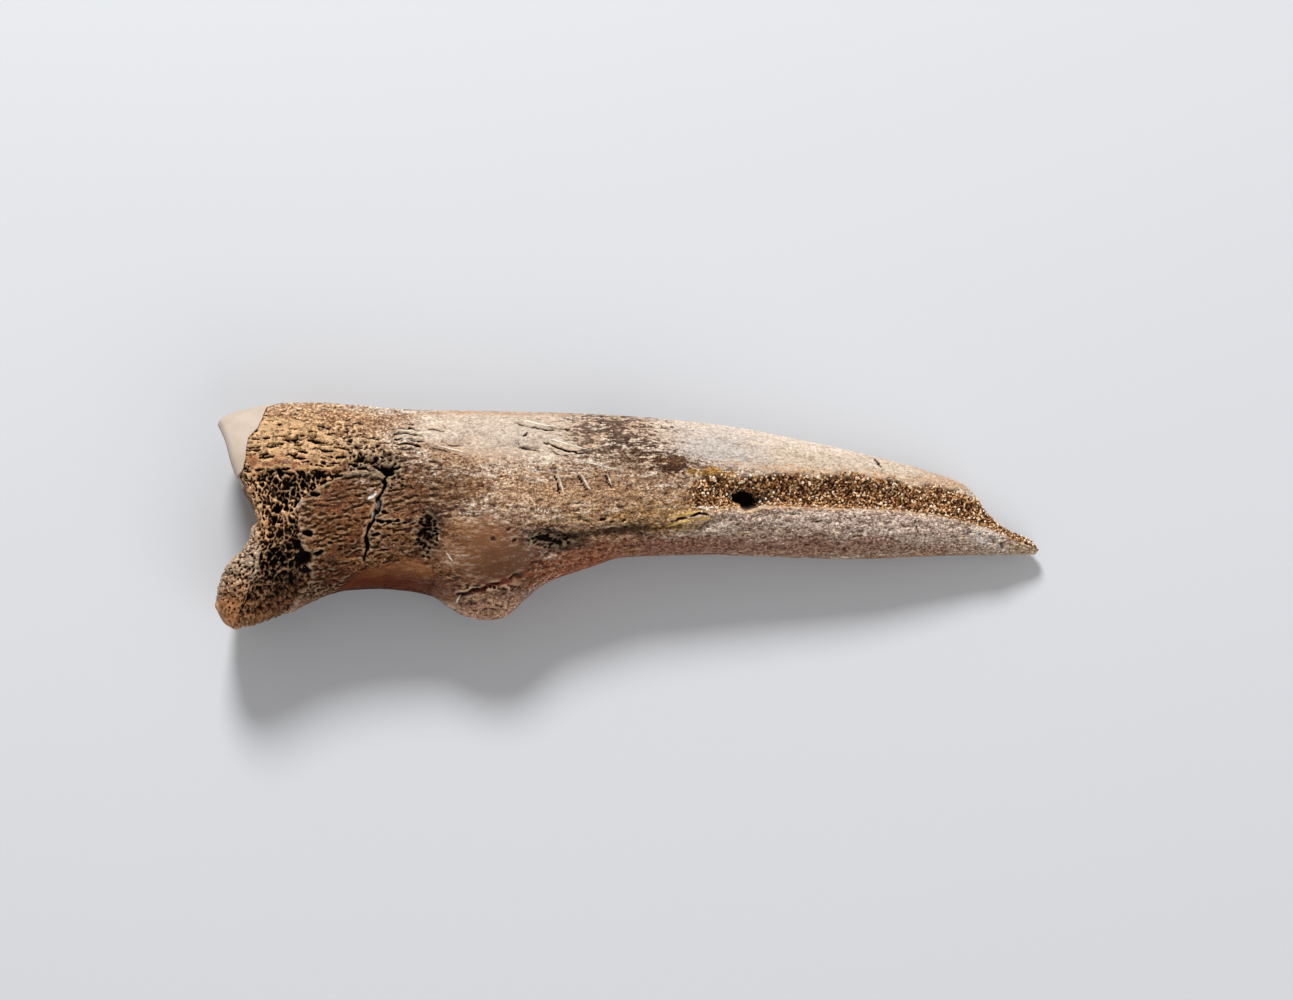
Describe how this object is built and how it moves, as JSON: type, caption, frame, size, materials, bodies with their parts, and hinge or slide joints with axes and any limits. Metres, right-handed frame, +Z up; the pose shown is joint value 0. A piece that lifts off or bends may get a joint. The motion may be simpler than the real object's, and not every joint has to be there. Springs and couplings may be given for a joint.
{
  "type": "fossil ornithomimus hand claw",
  "caption": "Long, nearly straight fossil claw bone with a hollowed joint end, a knob on the flexor edge, a sandy groove along each side, open spongy bone and a cream restored corner",
  "frame": {"origin": "middle of the object's box, on the surface that the claw lies on", "axes": "+X from the joint end to the point, +Y towards the back edge, +Z up, out of the side that the picture shows"},
  "size_m": [0.062, 0.0172, 0.0096],
  "materials": {
    "fossil_bone": "mineralised bone, satin on whole skin and matt in the spongy bone",
    "filler": "smooth matt modelling filler"
  },
  "bodies": {
    "root": {"fossil_claw": "fossil_bone", "restored_lip": "filler"}
  },
  "joints": []
}
